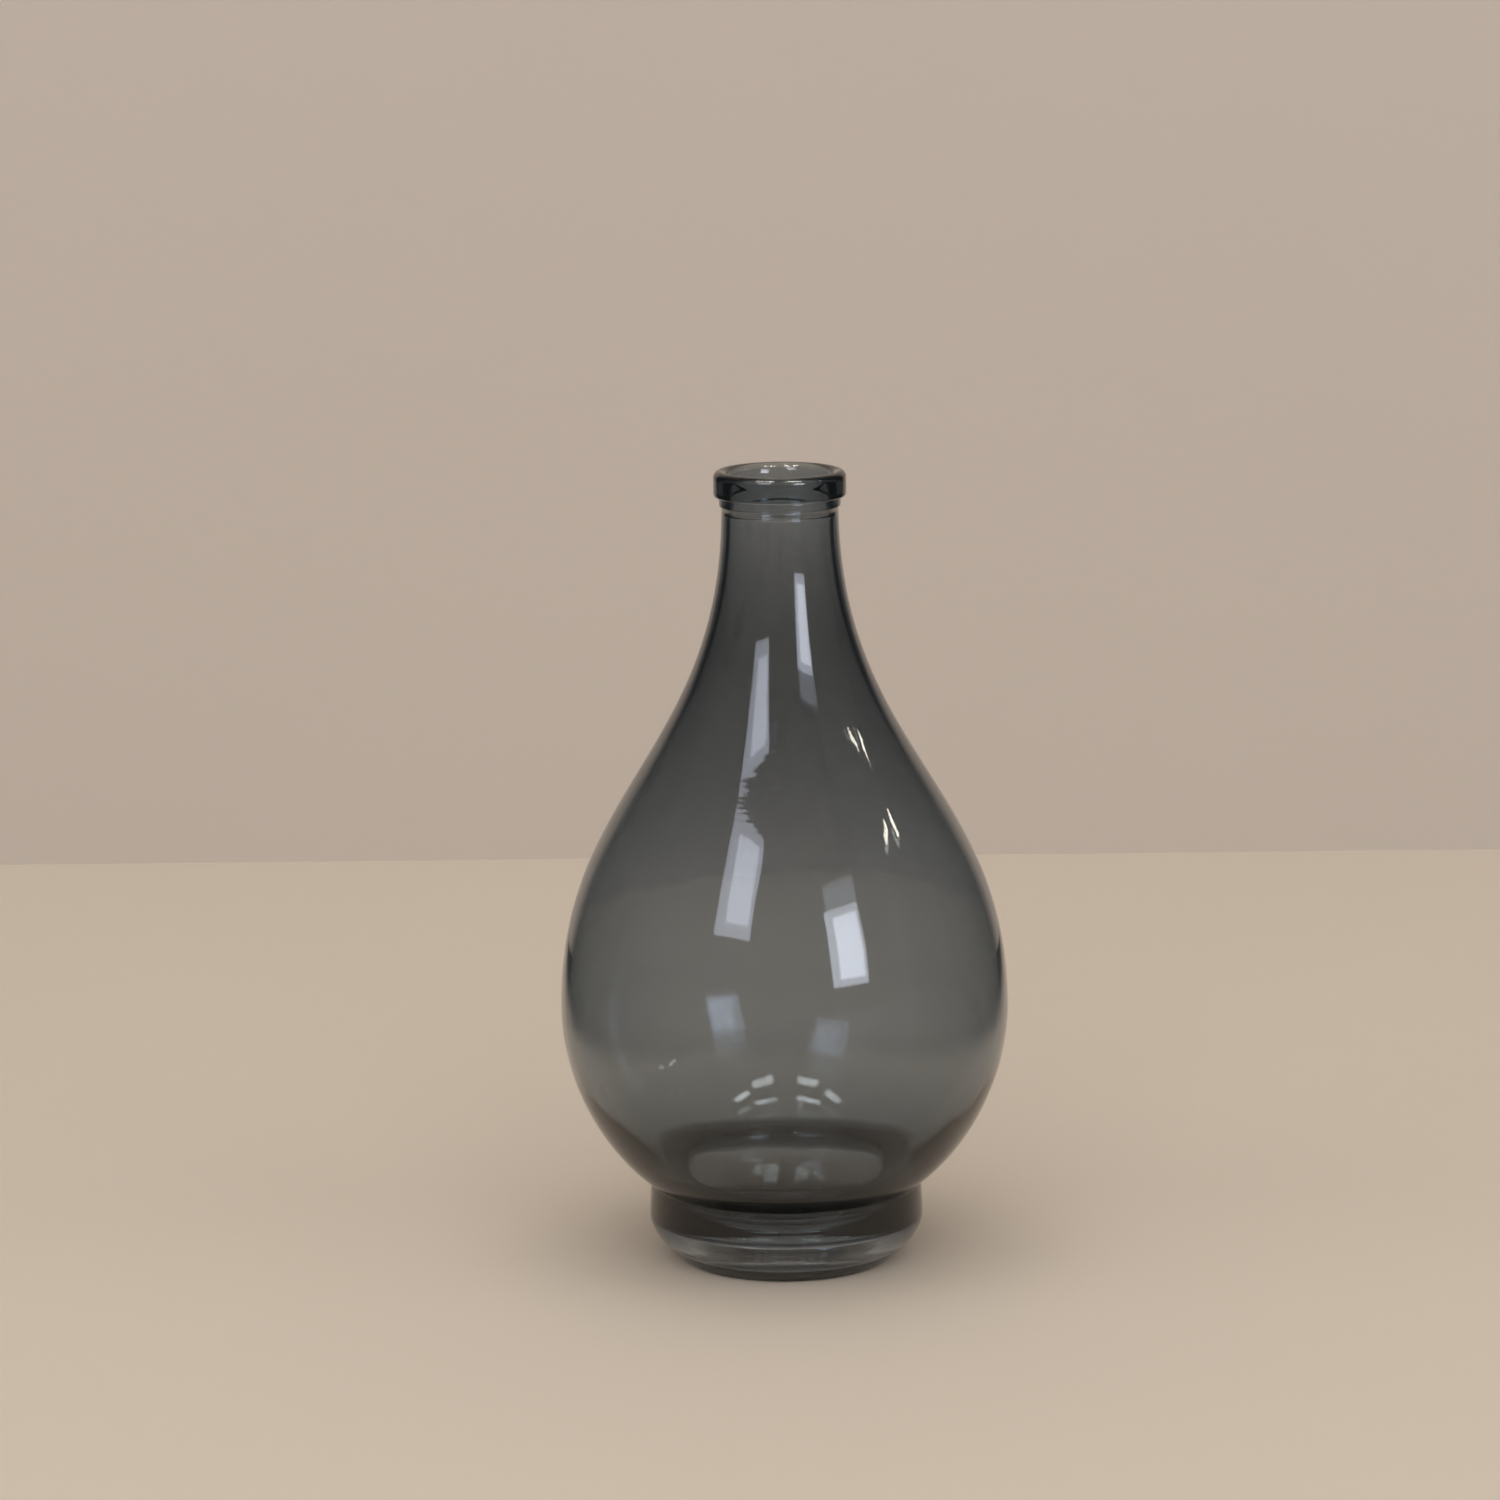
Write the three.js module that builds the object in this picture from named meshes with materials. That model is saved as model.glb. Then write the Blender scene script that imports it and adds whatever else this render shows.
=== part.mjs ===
// Bud vase of smoke-grey glass: a footed teardrop with a short neck, a thin bead and a thick collar.
// Millimetres, +Z up, origin at the centre of the base, standing on Z = 0.
// The real vase is one continuous wall of glass. It is divided here at level planes into the zones
// that a glass maker names, and each zone rests face to face on the one below it.
import * as THREE from 'three';

// Levels and heights
const totalHeight = 180;
const footHeight = 17.7;
const footWidestLevel = 10;
const bellyLevel = 58.3;
const neckLength = 26;
const beadHeight = 2.2;
const collarHeight = 5.8;

// Outside radii
const baseRadius = 23.9;
const footRadius = 31;
const creaseInset = 0.4;
const bellyRadius = 50.5;
const neckRadius = 13.05;
const beadProud = 0.5;
const collarProud = 1.75;

// How the outside curves
const footTuckLevel = 5.6;
const footRollLevel = 14;
const creaseSlope = THREE.MathUtils.degToRad(37.8);
const creaseReach = 18.9;
const bellyDrop = 11.5;
const bellyRise = 49.4;
const neckReach = 55.2;
const collarRound = 0.8;
const lipRound = 1.5;

// Thickness of the glass
const neckWall = 2.85;
const bellyWall = 2;
const floorThickness = 4;
const shoulderGather = 5.6;

// The heel, where the wall thickens towards the crease, measured out and up from the crease
const heelTopReach = 7.6;
const heelTopRise = 12.6;
const heelBendReach = 0.8;
const heelBendRise = 4.4;
const heelEdgeInset = 4.9;
const heelEdgeRise = 2.4;
const heelEase = 7;

// The narrow throat below the crease and the hollow of the foot
const throatRadius = 19;
const throatDrop = 2.7;
const throatEase = 1.5;
const hollowRadius = 24;
const hollowLevel = 7.5;
const floorRound = 5.5;

// How the mouth and the underside curve
const mouthDepth = 3;
const pushUpDepth = 1.8;
const pushUpReach = 10;
const bearingWidth = 4.5;

// Fineness of the curves
const turnSegments = 48;
const sweepSteps = 10;
const cupSteps = 4;
const roundSteps = 3;

// Sizes that follow from those above
const creaseRadius = footRadius - creaseInset;
const beadRadius = neckRadius + beadProud;
const collarRadius = neckRadius + collarProud;
const boreRadius = neckRadius - neckWall;
const crestRadius = collarRadius - lipRound;
const cavityRadius = bellyRadius - bellyWall;
const bearingRadius = baseRadius - bearingWidth;
const floorRadius = hollowRadius - floorRound;
const collarLevel = totalHeight - collarHeight;
const beadLevel = collarLevel - beadHeight;
const neckLevel = beadLevel - neckLength;
const throatLevel = footHeight - throatDrop;

// A step along the slope at which the belly leaves the crease
const alongSlope = new THREE.Vector2(Math.cos(creaseSlope), Math.sin(creaseSlope));

// The crease and the three points that shape the heel inside it
const crease = new THREE.Vector2(creaseRadius, footHeight);
const heelTop = new THREE.Vector2(creaseRadius + heelTopReach, footHeight + heelTopRise);
const heelBend = new THREE.Vector2(creaseRadius + heelBendReach, footHeight + heelBendRise);
const heelEdge = new THREE.Vector2(creaseRadius - heelEdgeInset, footHeight + heelEdgeRise);

// A path that starts at a radius and a level.
function pathFrom(radius, level) {
  const path = new THREE.Path();
  path.moveTo(radius, level);
  return path;
}

// Outside of the glass as radius and level, from the edge of the base up to the bead.
function outsideProfile() {
  const foot = pathFrom(baseRadius, 0);
  foot.quadraticCurveTo(footRadius, footTuckLevel, footRadius, footWidestLevel);
  foot.quadraticCurveTo(footRadius, footRollLevel, creaseRadius, footHeight);
  const swell = crease.clone().addScaledVector(alongSlope, creaseReach);
  const body = pathFrom(crease.x, crease.y);
  body.bezierCurveTo(swell.x, swell.y, bellyRadius, bellyLevel - bellyDrop, bellyRadius, bellyLevel);
  body.bezierCurveTo(
    bellyRadius, bellyLevel + bellyRise,
    neckRadius, beadLevel - neckReach,
    neckRadius, beadLevel,
  );
  return [...foot.getPoints(roundSteps), ...body.getPoints(sweepSteps).slice(1)];
}

// A point beyond the second of two points, on the line through both.
function beyond(first, second, distance) {
  return second.clone().addScaledVector(second.clone().sub(first).normalize(), distance);
}

// Inside of the glass, from the rim of the floor up to the crest of the lip.
function insideProfile() {
  const brink = beyond(heelBend, heelEdge, heelEdge.x - throatRadius);
  const rise = beyond(heelBend, heelTop, heelEase);
  const cup = pathFrom(floorRadius, floorThickness);
  cup.quadraticCurveTo(hollowRadius, floorThickness, hollowRadius, hollowLevel);
  cup.bezierCurveTo(
    hollowRadius, hollowLevel + throatEase,
    throatRadius, throatLevel - throatEase,
    throatRadius, throatLevel,
  );
  cup.bezierCurveTo(throatRadius, throatLevel + throatEase, brink.x, brink.y, heelEdge.x, heelEdge.y);
  cup.quadraticCurveTo(heelBend.x, heelBend.y, heelTop.x, heelTop.y);
  const body = pathFrom(heelTop.x, heelTop.y);
  body.bezierCurveTo(rise.x, rise.y, cavityRadius, bellyLevel - bellyDrop, cavityRadius, bellyLevel);
  body.bezierCurveTo(
    cavityRadius, bellyLevel + bellyRise,
    boreRadius, beadLevel - neckReach - shoulderGather,
    boreRadius, beadLevel,
  );
  const mouth = pathFrom(boreRadius, totalHeight - mouthDepth);
  mouth.quadraticCurveTo(boreRadius, totalHeight, crestRadius, totalHeight);
  return [
    ...cup.getPoints(cupSteps),
    ...body.getPoints(sweepSteps).slice(1),
    ...mouth.getPoints(roundSteps),
  ];
}

// The point where a rising profile passes a level.
function pointAt(profile, level) {
  let next = 1;
  while (next < profile.length - 1 && profile[next].y < level) {
    next += 1;
  }
  const below = profile[next - 1];
  const above = profile[next];
  return below.clone().lerp(above, (level - below.y) / (above.y - below.y));
}

// The stretch of a rising profile between two levels, cut square at both.
function between(profile, low, high) {
  const middle = profile.filter((point) => point.y > low && point.y < high);
  return [pointAt(profile, low), ...middle, pointAt(profile, high)];
}

const outside = outsideProfile();
const inside = insideProfile();

const smokeGlass = new THREE.MeshStandardMaterial({
  color: 0x5b6062,
  roughness: 0.06,
  metalness: 0,
  transparent: true,
  opacity: 0.4,
});

// Turns a section, drawn up the outside and down the inside, into a named ring or cup of glass.
function turned(name, section) {
  const geometry = new THREE.LatheGeometry(section, turnSegments);
  geometry.rotateX(Math.PI / 2);
  const mesh = new THREE.Mesh(geometry, smokeGlass.clone());
  mesh.name = name;
  return mesh;
}

// A ring of the wall between two levels, with its outside given.
function wallRing(name, outer, low, high) {
  const inner = between(inside, low, high).reverse();
  return turned(name, [...outer, ...inner, outer[0]]);
}

// The foot is a cup that narrows to the throat: a slightly raised underside, a bearing ring and the floor.
function makeFoot() {
  const underside = new THREE.QuadraticBezierCurve(
    new THREE.Vector2(0, pushUpDepth),
    new THREE.Vector2(pushUpReach, pushUpDepth),
    new THREE.Vector2(bearingRadius, 0),
  );
  const floor = new THREE.QuadraticBezierCurve(
    new THREE.Vector2(floorRadius, floorThickness),
    new THREE.Vector2(pushUpReach, floorThickness + pushUpDepth),
    new THREE.Vector2(0, floorThickness + pushUpDepth),
  );
  return turned('foot', [
    ...underside.getPoints(roundSteps),
    ...between(outside, 0, footHeight),
    ...between(inside, floorThickness, footHeight).reverse(),
    ...floor.getPoints(roundSteps).slice(1),
  ]);
}

function makeBelly() {
  return wallRing('belly', between(outside, footHeight, bellyLevel), footHeight, bellyLevel);
}

function makeShoulder() {
  return wallRing('shoulder', between(outside, bellyLevel, neckLevel), bellyLevel, neckLevel);
}

function makeNeck() {
  return wallRing('neck', between(outside, neckLevel, beadLevel), neckLevel, beadLevel);
}

// The bead's edges are rounded by as much as it stands proud of the neck.
function makeBead() {
  const edge = pathFrom(neckRadius, beadLevel);
  edge.quadraticCurveTo(beadRadius, beadLevel, beadRadius, beadLevel + beadProud);
  edge.lineTo(beadRadius, collarLevel - beadProud);
  edge.quadraticCurveTo(beadRadius, collarLevel, neckRadius, collarLevel);
  return wallRing('bead', edge.getPoints(roundSteps), beadLevel, collarLevel);
}

// The collar has a small round below and a large one at the lip, which runs over into the mouth.
function makeCollar() {
  const edge = pathFrom(collarRadius - collarRound, collarLevel);
  edge.quadraticCurveTo(collarRadius, collarLevel, collarRadius, collarLevel + collarRound);
  edge.lineTo(collarRadius, totalHeight - lipRound);
  edge.absarc(crestRadius, totalHeight - lipRound, lipRound, 0, Math.PI / 2);
  return wallRing('collar', edge.getPoints(roundSteps), collarLevel, totalHeight);
}

const vase = new THREE.Group();
vase.name = 'bud_vase';
vase.add(makeFoot(), makeBelly(), makeShoulder(), makeNeck(), makeBead(), makeCollar());

export default vase;
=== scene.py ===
import math

import bpy
from mathutils import Matrix, Vector


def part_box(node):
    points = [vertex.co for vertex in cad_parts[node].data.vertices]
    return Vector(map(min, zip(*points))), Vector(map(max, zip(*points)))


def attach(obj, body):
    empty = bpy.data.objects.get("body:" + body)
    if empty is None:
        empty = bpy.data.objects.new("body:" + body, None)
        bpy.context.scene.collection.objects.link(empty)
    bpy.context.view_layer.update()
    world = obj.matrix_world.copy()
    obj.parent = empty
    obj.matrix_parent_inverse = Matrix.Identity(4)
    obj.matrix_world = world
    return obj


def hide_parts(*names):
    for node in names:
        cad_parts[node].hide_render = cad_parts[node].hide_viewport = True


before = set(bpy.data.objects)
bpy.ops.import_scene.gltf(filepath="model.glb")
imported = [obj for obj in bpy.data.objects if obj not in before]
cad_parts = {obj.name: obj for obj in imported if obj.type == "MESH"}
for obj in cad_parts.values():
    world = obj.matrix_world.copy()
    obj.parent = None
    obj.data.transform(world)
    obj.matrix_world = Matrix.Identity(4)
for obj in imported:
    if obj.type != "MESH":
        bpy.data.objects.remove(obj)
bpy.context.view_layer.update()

mm = 0.001
print("frame loaded, nodes:", ", ".join(sorted(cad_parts)))


# the glass: levels and widths come from the frame, the curves between them are set here, in millimetres
vaseShape = {
    "bearing": (19.4, 23.2),        # inner and outer radius of the ring that it stands on
    "bearingRound": (24.3, 0.45),   # radius and level where the ring's rounded edge ends
    "pushUp": (10, 1.75),           # reach and depth of the raised underside
    "footTuck": 5.9,                # levels that shape the side of the foot
    "footGirth": 10,
    "footRoll": 14,
    "creaseInset": 0.4,
    "creaseRound": 0.3,
    "creaseSlope": 37.8,            # degrees
    "creaseReach": 18.9,
    "bellyDrop": 11.5,
    "bellyRise": 49.4,
    "neckReach": 55.2,
    "neckStep": 0.5,                # how far the bead stands out from the neck
    "collarUnder": (0.25, 0.8),     # depth of the groove over the bead, round of the collar's lower edge
    "lipRound": 1.5,
    "lipPull": 0.45,                # share of the round that keeps it full
    "neckWall": 1.9,
    "bellyWall": 1.8,
    "cavityDrop": 11.5,
    "cavityRise": 49.4,
    "gather": 2.5,                  # how much lower the shoulder starts inside
    "mouthDepth": 3,
    "heelTop": (10, 15),            # the heel's points, out and up from the crease
    "heelBend": (2, 4.2),
    "heelEdge": (-4.6, 2),
    "heelEase": 8,
    "throat": (23, 3),              # radius of the throat, drop below the crease
    "throatEase": 1.5,
    "hollow": (28.6, 9),            # widest radius of the foot's hollow and its level
    "floorThickness": 1.4,
    "floorRound": 9,
    "weld": 0.001,                  # points closer than this become one
    "turns": 192,                   # steps of the spin
    "lipFade": 16,                  # points under the lip that the waves leave alone
    "steps": {                      # points along each stretch of the profile
        "underside": 14, "bearing": 2, "bearingRound": 4, "footSide": 24, "footRoll": 12, "crease": 4,
        "belly": 40, "shoulder": 64, "beadRound": 5, "bead": 2, "collarUnder": 2, "collarRound": 7,
        "collar": 3, "lip": 10, "mouth": 12, "bore": 3, "cavityTop": 64, "cavityLow": 30, "heel": 18,
        "throat": 14, "hollow": 10, "floorRound": 12, "floor": 12},
}


def nodeTop(node):
    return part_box(node)[1].z


def nodeRadius(node):
    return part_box(node)[1].x


def inMetres(shape):
    return {name: value * mm for name, value in shape.items() if isinstance(value, (int, float))}


def at(radius, level):
    return Vector((radius, 0, level))


def creasePoint(size):
    return at(nodeRadius("foot") - size["creaseInset"], nodeTop("foot"))


def stretch(steps, *corners):       # points along a curve that its corners pull, without the first one
    points = []
    for step in range(1, steps + 1):
        row = corners
        while len(row) > 1:
            row = [a.lerp(b, step / steps) for a, b in zip(row, row[1:])]
        points.append(row[0])
    return points


def beyond(first, second, distance):
    return second + (second - first).normalized() * distance


def outsidePath(shape):
    size, steps = inMetres(shape), shape["steps"]
    footRadius, crease = nodeRadius("foot"), creasePoint(size)
    slope = math.radians(shape["creaseSlope"])
    along = at(math.cos(slope), math.sin(slope))
    belly, bellyLevel = nodeRadius("belly"), nodeTop("belly")
    bead, beadLevel, collarLevel = nodeRadius("bead"), nodeTop("neck"), nodeTop("bead")
    collar, top = nodeRadius("collar"), nodeTop("collar")
    beadStep, creaseRound, lip = size["neckStep"], size["creaseRound"], size["lipRound"]
    neck, lipPull = bead - beadStep, lip * shape["lipPull"]
    bearingIn, bearingOut = (radius * mm for radius in shape["bearing"])
    reach, depth = (value * mm for value in shape["pushUp"])
    edge = at(*(value * mm for value in shape["bearingRound"]))
    groove, under = (value * mm for value in shape["collarUnder"])

    path = [at(0, depth)]
    path += stretch(steps["underside"], path[-1], at(reach, depth), at(bearingIn, 0))
    path += stretch(steps["bearing"], path[-1], at(bearingOut, 0))
    path += stretch(steps["bearingRound"], path[-1], at((bearingOut + edge.x) / 2, 0), edge)
    path += stretch(
        steps["footSide"], path[-1], at(footRadius, size["footTuck"]), at(footRadius, size["footGirth"]))
    path += stretch(
        steps["footRoll"], path[-1], at(footRadius, size["footRoll"]), crease - at(0, creaseRound))
    path += stretch(steps["crease"], path[-1], crease, crease + along * creaseRound)
    path += stretch(
        steps["belly"], path[-1], crease + along * size["creaseReach"],
        at(belly, bellyLevel - size["bellyDrop"]), at(belly, bellyLevel))
    path += stretch(
        steps["shoulder"], path[-1], at(belly, bellyLevel + size["bellyRise"]),
        at(neck, beadLevel - size["neckReach"]), at(neck, beadLevel))
    path += stretch(steps["beadRound"], path[-1], at(bead, beadLevel), at(bead, beadLevel + beadStep))
    path += stretch(steps["bead"], path[-1], at(bead, collarLevel - beadStep))
    path += stretch(steps["beadRound"], path[-1], at(bead, collarLevel), at(bead - groove, collarLevel))
    path += stretch(steps["collarUnder"], path[-1], at(collar - under, collarLevel))
    path += stretch(steps["collarRound"], path[-1], at(collar, collarLevel), at(collar, collarLevel + under))
    path += stretch(steps["collar"], path[-1], at(collar, top - lip))
    path += stretch(
        steps["lip"], path[-1], at(collar, top - lipPull), at(collar - lipPull, top), at(collar - lip, top))
    return path


def insidePath(shape, crest):
    size, steps = inMetres(shape), shape["steps"]
    crease = creasePoint(size)
    heelTop, heelBend, heelEdge = (
        crease + at(*shape[name]) * mm for name in ("heelTop", "heelBend", "heelEdge"))
    throatRadius, throatDrop = (value * mm for value in shape["throat"])
    throat = at(throatRadius, crease.z - throatDrop)
    ease = at(0, size["throatEase"])
    brink = beyond(heelBend, heelEdge, heelEdge.x - throatRadius)
    hollow = at(*(value * mm for value in shape["hollow"]))
    reach, depth = (value * mm for value in shape["pushUp"])
    floor = size["floorThickness"]
    crown = floor + depth
    girth, beadLevel, top = nodeTop("belly"), nodeTop("neck"), nodeTop("collar")
    bore = nodeRadius("bead") - size["neckStep"] - size["neckWall"]
    cavity = nodeRadius("belly") - size["bellyWall"]

    path = stretch(steps["mouth"], crest, at(bore, top), at(bore, top - size["mouthDepth"]))
    path += stretch(steps["bore"], path[-1], at(bore, beadLevel))
    path += stretch(
        steps["cavityTop"], path[-1], at(bore, beadLevel - size["neckReach"] - size["gather"]),
        at(cavity, girth + size["cavityRise"]), at(cavity, girth))
    path += stretch(
        steps["cavityLow"], path[-1], at(cavity, girth - size["cavityDrop"]),
        beyond(heelBend, heelTop, size["heelEase"]), heelTop)
    path += stretch(steps["heel"], path[-1], heelBend, heelEdge)
    path += stretch(steps["throat"], path[-1], brink, throat + ease, throat)
    path += stretch(steps["hollow"], path[-1], throat - ease, hollow + ease, hollow)
    path += stretch(
        steps["floorRound"], path[-1], at(hollow.x, floor), at(hollow.x - size["floorRound"], floor))
    path += stretch(steps["floor"], path[-1], at(reach, crown), at(0, crown))
    return path


def spinGlass(shape):
    outside = outsidePath(shape)
    path = outside + insidePath(shape, outside[-1])
    bpy.ops.object.select_all(action="DESELECT")
    bpy.ops.mesh.primitive_plane_add(size=mm, location=path[0])
    vase = bpy.context.object
    vase.name = vase.data.name = "bud_vase_glass"
    bpy.ops.object.transform_apply(location=True)
    bpy.ops.object.mode_set(mode="EDIT")
    bpy.ops.mesh.select_all(action="SELECT")
    bpy.ops.mesh.merge(type="COLLAPSE")     # the plane shrinks to the profile's first point
    for before, after in zip(path, path[1:]):
        bpy.ops.mesh.extrude_region_move(TRANSFORM_OT_translate={"value": after - before})
    bpy.ops.object.mode_set(mode="OBJECT")
    wall = vase.vertex_groups.new(name="inside")
    wall.add(list(range(len(outside) + shape["lipFade"], len(path))), 1, "REPLACE")
    skin = vase.vertex_groups.new(name="outside")
    skin.add(list(range(len(outside))), 1, "REPLACE")
    bpy.ops.object.mode_set(mode="EDIT")
    bpy.ops.mesh.select_all(action="SELECT")
    bpy.ops.mesh.spin(steps=shape["turns"], angle=math.tau, center=(0, 0, 0), axis=(0, 0, 1))
    bpy.ops.mesh.select_all(action="SELECT")
    bpy.ops.mesh.remove_doubles(threshold=shape["weld"] * mm)
    bpy.ops.mesh.normals_make_consistent(inside=False)
    bpy.ops.object.mode_set(mode="OBJECT")
    bpy.ops.object.shade_smooth()
    print("glass spun,", len(vase.data.polygons), "faces")
    return vase


# the inner wall of blown glass is never quite even
waves = {"swell": (26, 0.12), "ripple": (7, 0.03)}      # width and height of the waves, in millimetres


def waveInside(vase):
    for name, (width, height) in waves.items():
        clouds = bpy.data.textures.new("inner_" + name, "CLOUDS")
        clouds.noise_scale = width * mm
        clouds.noise_depth = 0
        bpy.ops.object.modifier_add(type="DISPLACE")
        wave = vase.modifiers[-1]
        wave.texture, wave.texture_coords = clouds, "LOCAL"
        wave.strength, wave.mid_level = height * mm, 0.5        # half in, half out
        wave.vertex_group = "inside"
        bpy.ops.object.modifier_apply(modifier=wave.name)
    print("inner wall waved")


def markSkin(vase, shape):          # 1 on the outside of the glass, 0 inside and under the foot
    group = vase.vertex_groups["outside"].index
    reach, depth = shape["bearing"][0] * mm, shape["pushUp"][1] * mm
    shares = []
    for point in vase.data.vertices:
        under = point.co.z <= depth and point.co.xy.length < reach
        shares.append(float(not under and any(share.group == group for share in point.groups)))
    vase.data.attributes.new("skin", "FLOAT", "POINT").data.foreach_set("value", shares)
    print("skin marked")


class Wire:                         # a node's output that can stand in a sum
    def __init__(self, desk, socket):
        self.desk, self.socket = desk, socket

    def worked(self, operation, first, second):
        return self.desk.add("ShaderNodeMath", {"operation": operation}, {0: first, 1: second})

    def __add__(self, other):
        return self.worked("ADD", self, other)

    def __sub__(self, other):
        return self.worked("SUBTRACT", self, other)

    def __rsub__(self, other):
        return self.worked("SUBTRACT", other, self)

    def __mul__(self, other):
        return self.worked("MULTIPLY", self, other)

    __radd__, __rmul__ = __add__, __mul__


class NodeDesk:
    def __init__(self, name):
        self.material = bpy.data.materials.new(name)
        self.material.use_nodes = True
        self.tree = self.material.node_tree
        self.tree.nodes.clear()

    def add(self, kind, settings=None, sockets=None, output=0):
        node = self.tree.nodes.new(kind)
        for name, value in (settings or {}).items():
            if name == "stops":
                ramp = node.color_ramp
                while len(ramp.elements) < len(value):
                    ramp.elements.new(1)
                for element, (place, colour) in zip(ramp.elements, value):
                    element.position, element.color = place, colour
            else:
                setattr(node, name, value)
        for name, value in (sockets or {}).items():
            if isinstance(value, Wire):
                self.tree.links.new(value.socket, node.inputs[name])
            else:
                node.inputs[name].default_value = value
        return Wire(self, node.outputs[output]) if len(node.outputs) else None

    def fade(self, value, low, high):       # 0 below the low value, 1 above the high one
        return self.add("ShaderNodeMapRange", {"interpolation_type": "SMOOTHSTEP"}, {
            "Value": value, "From Min": low, "From Max": high, "To Min": 0, "To Max": 1})

    def mix(self, share, first, second, blend="MIX"):
        return self.add("ShaderNodeMix", {"data_type": "RGBA", "blend_type": blend}, {
            0: share, 6: first, 7: second}, output=2)


smokeGlass = {
    "ior": 1.5,
    "depth": (305, 277, 260),       # what a metre of the glass itself takes of red, green and blue
    "depthRoom": 1.25,              # keeps the absorption colour clear of black
    "cast": (0.95, 1, 1.06),        # how the smoke takes more red than blue
    "smoke": [                      # share of the height, light that the smoke lets through
        (0.00, 0.84), (0.085, 0.84), (0.10, 0.98), (0.20, 0.98), (0.32, 0.91), (0.46, 0.88),
        (0.53, 0.80), (0.65, 0.61), (0.78, 0.44), (0.86, 0.57), (0.92, 0.80), (1.00, 1.00)],
    "streaks": 0.14,                # how much streaks and clouds darken the smoke
    "streakTone": (0.2, 0.2, 0.22, 1),
    "streakLevels": (0.5, 0.8),     # shares of the height over which the streaks come in
    "cloudShare": 0.4,
    "creaseShade": (16.5, 18.2, 21, 22.8),    # levels of the painted shade band inside the crease, in millimetres
    "creaseShadeTone": (0.1, 0.1, 0.105, 1),
    "polish": 0.035,
    "smudges": 0.05,
    "scuff": 0.35,
    "scuffLevels": (0.1, 0.7),      # millimetres over which the bearing's scuff ends
    "lineLevels": (0.9, 1.2),       # shares of the foot's height over which its turning lines end
    "ringLevels": (0.55, 0.62, 0.68, 0.75),     # shares of the height with fine rings
    "relief": {"waver": 1.6, "fineWaver": 0.25, "lines": 2.2, "rings": 0.8},
    "reliefDepth": 0.02,            # millimetres
    "grain": {                      # scale, detail, roughness and how it is pulled along the axes
        "streak": (260, 2, 0.6, (1, 1, 0.05)),
        "cloud": (22, 2, 0.5, (1, 1, 1)),
        "smudge": (38, 3, 0.6, (1, 1, 1)),
        "scuff": (900, 2, 0.5, (1, 1, 1)),
        "lines": (520, 2, 0.6, (0.02, 0.02, 1)),
        "rings": (600, 1, 0.5, (0.1, 0.1, 1)),
        "waver": (60, 1, 0.5, (1, 1, 1)),
        "fineWaver": (240, 1, 0.5, (1, 1, 0.2)),
    },
    "cut": {"streak": (0.45, 0.75), "cloud": (0.35, 0.75), "smudge": (0.55, 0.8), "scuff": (0.3, 0.6)},
}


def smokeGlassMaterial(look):
    desk = NodeDesk("smoke_glass_clear")
    top, footTop = nodeTop("collar"), nodeTop("foot")
    place = desk.add("ShaderNodeTexCoord", output="Object")
    level = desk.add("ShaderNodeSeparateXYZ", sockets={0: place}, output="Z")

    def noise(name):
        scale, detail, rough, pull = look["grain"][name]
        pulled = desk.add("ShaderNodeMapping", sockets={"Vector": place, "Scale": pull})
        return desk.add("ShaderNodeTexNoise", sockets={
            "Vector": pulled, "Scale": scale, "Detail": detail, "Roughness": rough})

    def patches(name):
        return desk.fade(noise(name), *look["cut"][name])

    def above(levels, unit):        # comes in over two levels
        return desk.fade(level, *(value * unit for value in levels))

    # smoke on the outside, darkest at the shoulder, with faint upright streaks
    height = desk.add("ShaderNodeMapRange", sockets={"Value": level, "From Min": 0, "From Max": top})
    stops = [(share, (*(let * part for part in look["cast"]), 1)) for share, let in look["smoke"]]
    smoke = desk.add("ShaderNodeValToRGB", {"stops": stops}, {"Fac": height})
    streak = patches("streak") * above(look["streakLevels"], top)
    darker = (streak + look["cloudShare"] * patches("cloud")) * look["streaks"]
    streaked = desk.mix(darker, smoke, look["streakTone"], "MULTIPLY")
    skin = desk.add("ShaderNodeAttribute", {"attribute_name": "skin"}, output="Fac")
    tone = desk.mix(skin, (1, 1, 1, 1), streaked)

    # painted shade: a dark band on the inside just above the crease, standing in for the dark ring that the
    # thick heel shows
    creaseShade = (1 - skin) * above(look["creaseShade"][:2], mm) * (1 - above(look["creaseShade"][2:], mm))
    tone = desk.mix(creaseShade, tone, look["creaseShadeTone"])

    # polish, with finger smudges and a scuffed bearing ring
    scuff = (1 - above(look["scuffLevels"], mm)) * patches("scuff")
    polish = look["polish"] + patches("smudge") * look["smudges"] + scuff * look["scuff"]

    # fine turning lines round the foot, rings on the shoulder and a slow waver all over
    relief = look["relief"]
    lines = noise("lines") * (1 - above(look["lineLevels"], footTop))
    rings = noise("rings") * above(look["ringLevels"][:2], top) * (1 - above(look["ringLevels"][2:], top))
    waver = noise("waver") + relief["fineWaver"] * noise("fineWaver")
    bump = desk.add("ShaderNodeBump", sockets={
        "Height": relief["waver"] * waver + relief["lines"] * lines + relief["rings"] * rings,
        "Strength": 1.0, "Distance": look["reliefDepth"] * mm}, output="Normal")

    glass = desk.add("ShaderNodeBsdfPrincipled", sockets={
        "Base Color": tone, "Roughness": polish, "IOR": look["ior"],
        "Transmission Weight": 1, "Normal": bump})
    strongest = look["depthRoom"] * max(look["depth"])
    inner = desk.add("ShaderNodeVolumeAbsorption", sockets={
        "Density": strongest, "Color": (*(1 - take / strongest for take in look["depth"]), 1)})
    desk.add("ShaderNodeOutputMaterial", sockets={"Surface": glass, "Volume": inner})
    return desk.material


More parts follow.
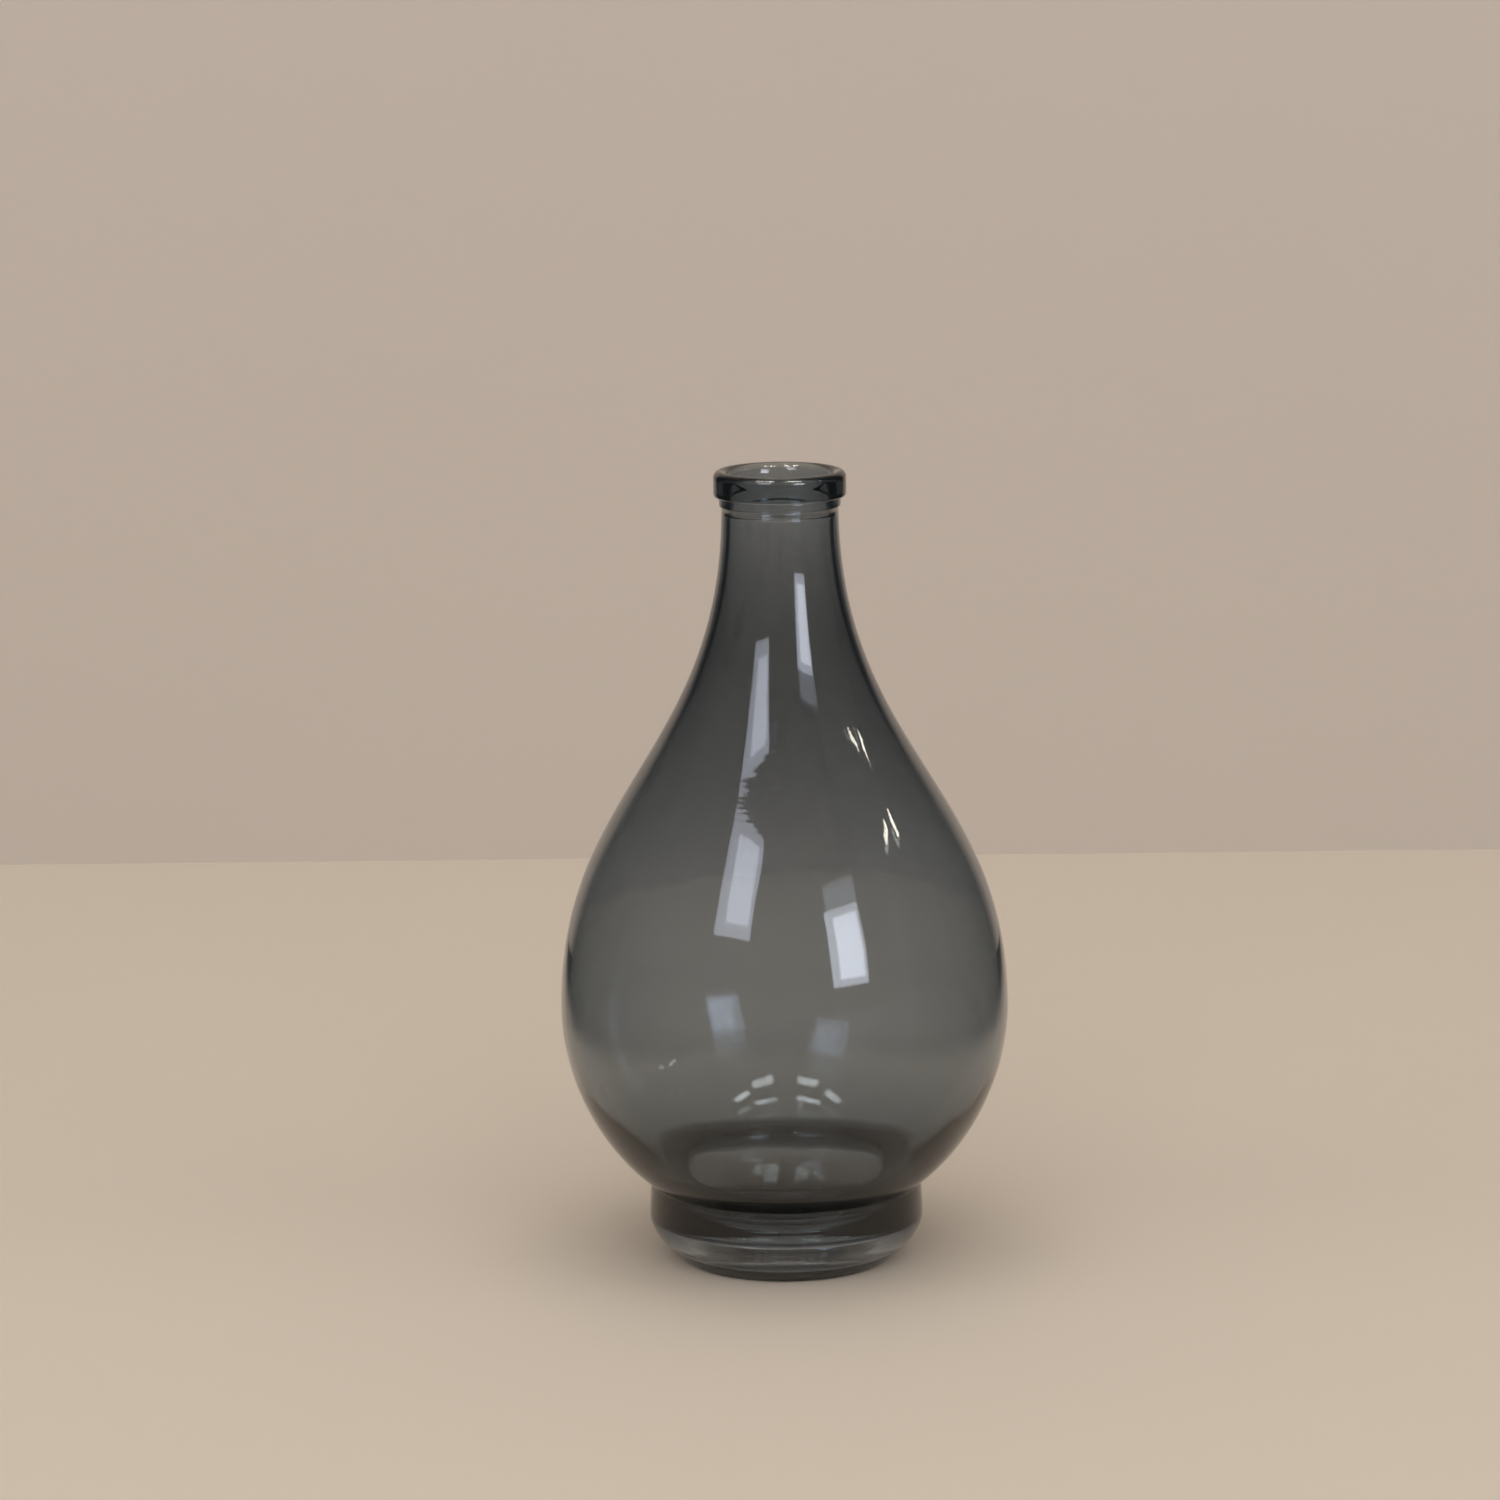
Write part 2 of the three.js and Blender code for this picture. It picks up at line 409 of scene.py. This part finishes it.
vase = spinGlass(vaseShape)
waveInside(vase)
markSkin(vase, vaseShape)
vase.data.materials.append(smokeGlassMaterial(smokeGlass))
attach(vase, "root")
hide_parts("foot", "belly", "shoulder", "neck", "bead", "collar")
print("glass finished")


# a cream table and a greige wall close behind it, in metres
# past their lit part, the glass sees them as dim as the room
studio = {
    "tableColour": (0.59, 0.507, 0.42, 1),
    "wallColour": (0.50, 0.437, 0.383, 1),
    "roomColour": (0.04, 0.04, 0.042, 1),
    "mottle": (3, 3, 0.12),         # scale, detail and strength
    "mottleTone": (0.75, 0.74, 0.73, 1),
    "roughness": 0.75,
    "halfWidth": 3,
    "tableFront": -2.5,
    "wallAt": 0.43,
    "wallHeight": 2.5,
    "tableLit": 0.2,                # how far to the sides the glass sees the table and the wall lit
    "wallLit": 0.33,
    "litFront": (0.3, 0.4),         # and how far to the front, in a mirror image and through the glass
    "litEdge": (0.75, 1.25),        # shares of these lengths over which the light fades
}


def plainSurface(name, room):
    desk = NodeDesk("plain_" + name)
    place = desk.add("ShaderNodeTexCoord", output="Object")
    scale, detail, strength = room["mottle"]
    mottle = desk.add("ShaderNodeTexNoise", sockets={"Vector": place, "Scale": scale, "Detail": detail})
    shade = desk.mix(mottle * strength, room[name + "Colour"], room["mottleTone"], "MULTIPLY")

    def past(value, edge):
        return desk.fade(value, *(share * edge for share in room["litEdge"]))

    sideways = desk.add("ShaderNodeSeparateXYZ", sockets={0: place}, output="X")
    forward = desk.add("ShaderNodeSeparateXYZ", sockets={0: place}, output="Y") * -1
    mirrored = desk.add("ShaderNodeLightPath", output="Is Glossy Ray")
    through = desk.add("ShaderNodeLightPath", output="Is Transmission Ray")
    sideways = desk.add("ShaderNodeMath", {"operation": "ABSOLUTE"}, {0: sideways})
    aside = past(sideways, room[name + "Lit"])
    nearEdge, farEdge = (past(forward, edge) for edge in room["litFront"])
    dim = desk.add("ShaderNodeClamp", sockets={
        "Value": mirrored * (aside + nearEdge) + through * (aside + farEdge)})
    shade = desk.mix(dim, shade, room["roomColour"])
    paint = desk.add("ShaderNodeBsdfPrincipled", sockets={
        "Base Color": shade, "Roughness": room["roughness"]})
    back = desk.add("ShaderNodeNewGeometry", output="Backfacing")
    clear = desk.add("ShaderNodeBsdfTransparent")       # a view from behind or below looks past the stage
    seen = desk.add("ShaderNodeMixShader", sockets={0: back, 1: paint, 2: clear})
    desk.add("ShaderNodeOutputMaterial", sockets={"Surface": seen})
    return desk.material


def buildStage(room):
    wide, deep = 2 * room["halfWidth"], room["wallAt"] - room["tableFront"]
    tall, wallAt = room["wallHeight"], room["wallAt"]
    surfaces = {                    # extent, middle and lean
        "table": ((wide, deep), (0, (wallAt + room["tableFront"]) / 2, 0), 0),
        "wall": ((wide, tall), (0, wallAt, tall / 2), math.pi / 2),
    }
    for name, (extent, middle, lean) in surfaces.items():
        bpy.ops.object.select_all(action="DESELECT")
        bpy.ops.mesh.primitive_plane_add(size=1, location=middle, rotation=(lean, 0, 0))
        sheet = bpy.context.object
        sheet.name = sheet.data.name = "stage_" + name
        sheet.scale = (*extent, 1)
        bpy.ops.object.transform_apply(location=True, rotation=True, scale=True)
        sheet.data.materials.append(plainSurface(name, room))
    print("stage built")


buildStage(studio)


# soft lamps for the plain surfaces, and the windows and small lamps that only the glass sees
softWhite = (1.0, 0.98, 0.95)
lampYellow = (1.0, 0.93, 0.80)
ceilingWarm = (1.0, 0.95, 0.85)
lamps = {
    "aim": (0, 0, 0.09),
    "world": (0.11, 0.11, 0.113, 1),
    # name, turn to the right and rise in degrees, distance, width and height in metres,
    # brightness of the panel's face, colour
    "soft": [
        ("fill_front", 0, 32, 2.6, 2.4, 1.6, 2.9, softWhite),
        ("fill_left", -62, 27, 2.6, 2.4, 1.6, 1.6, softWhite),
        ("fill_right", 62, 27, 2.6, 2.4, 1.6, 1.6, softWhite),
        ("fill_above", 0, 85, 2.6, 2.2, 2.2, 1.75, softWhite),
    ],
    "mirrored": [
        ("window_left", -30, 35.2, 2.6, 0.90, 1.22, 4.2, (0.82, 0.86, 1.0)),
        ("window_left_pane", -28, 36.5, 2.55, 0.55, 0.90, 3.4, (0.85, 0.88, 1.0)),
        ("window_right", 34.5, 18, 2.6, 0.88, 1.14, 6, (0.82, 0.87, 1.0)),
        ("window_right_pane", 36, 18, 2.55, 0.60, 0.90, 5, (0.88, 0.92, 1.0)),
        ("window_right_top", 36, 34, 2.6, 0.80, 0.32, 1.7, (0.80, 0.86, 1.0)),
        ("side_lamp_near", 83, 34.2, 2.4, 0.22, 0.05, 18, lampYellow),
        ("side_lamp_far", 92.2, 31.6, 2.4, 0.08, 0.10, 20, lampYellow),
        ("ceiling_left", -24, 62, 2.6, 0.45, 0.14, 50, ceilingWarm),
        ("ceiling_right", 24, 62, 2.6, 0.45, 0.14, 50, ceilingWarm),
        ("ceiling_high_left", -35, 71, 2.6, 0.50, 0.14, 50, ceilingWarm),
        ("ceiling_high_right", 30, 72, 2.6, 0.45, 0.12, 44, ceilingWarm),
        ("ceiling_far_left", -58, 64, 2.6, 0.45, 0.14, 50, ceilingWarm),
        ("ceiling_far_right", 52, 64, 2.6, 0.45, 0.14, 50, ceilingWarm),
    ],
}


def hangLamp(aim, soft, name, turn, rise, distance, width, tall, brightness, colour):
    turn, rise = math.radians(turn), math.radians(rise)
    away = Vector((
        math.sin(turn) * math.cos(rise), -math.cos(turn) * math.cos(rise), math.sin(rise)))
    bpy.ops.object.light_add(type="AREA", location=aim + away * distance)
    lamp = bpy.context.object
    lamp.name = lamp.data.name = name
    lamp.rotation_euler = (-away).to_track_quat("-Z", "Y").to_euler()
    lamp.data.shape = "RECTANGLE"
    lamp.data.size, lamp.data.size_y = width, tall
    lamp.data.energy = brightness * width * tall * math.pi      # watts
    lamp.data.color = colour
    lamp.visible_diffuse = soft
    lamp.visible_glossy = lamp.visible_transmission = not soft


def lightRoom(plan):
    for kind in ("soft", "mirrored"):
        for row in plan[kind]:
            hangLamp(Vector(plan["aim"]), kind == "soft", *row)
    scene = bpy.context.scene
    scene.world = bpy.data.worlds.new("room")
    scene.world.use_nodes = True
    scene.world.node_tree.nodes["Background"].inputs["Color"].default_value = plan["world"]
    scene.view_settings.view_transform = "Standard"
    print("lamps hung")


lightRoom(lamps)


# the photograph's viewpoint
viewpoint = {
    "lens": 132,
    "sensor": 36,
    "stand": (-0.0072, -1.20976, 0.35193),
    "tilt": 79,
    "roll": -0.6,
}


def setCamera(view):
    bpy.ops.object.camera_add()
    camera = bpy.context.object
    camera.name = camera.data.name = "camera"
    camera.data.lens, camera.data.sensor_width = view["lens"], view["sensor"]
    camera.matrix_world = (
        Matrix.Translation(view["stand"])
        @ Matrix.Rotation(math.radians(view["tilt"]), 4, "X")
        @ Matrix.Rotation(math.radians(view["roll"]), 4, "Z"))
    bpy.context.scene.camera = camera
    print("camera set")


setCamera(viewpoint)
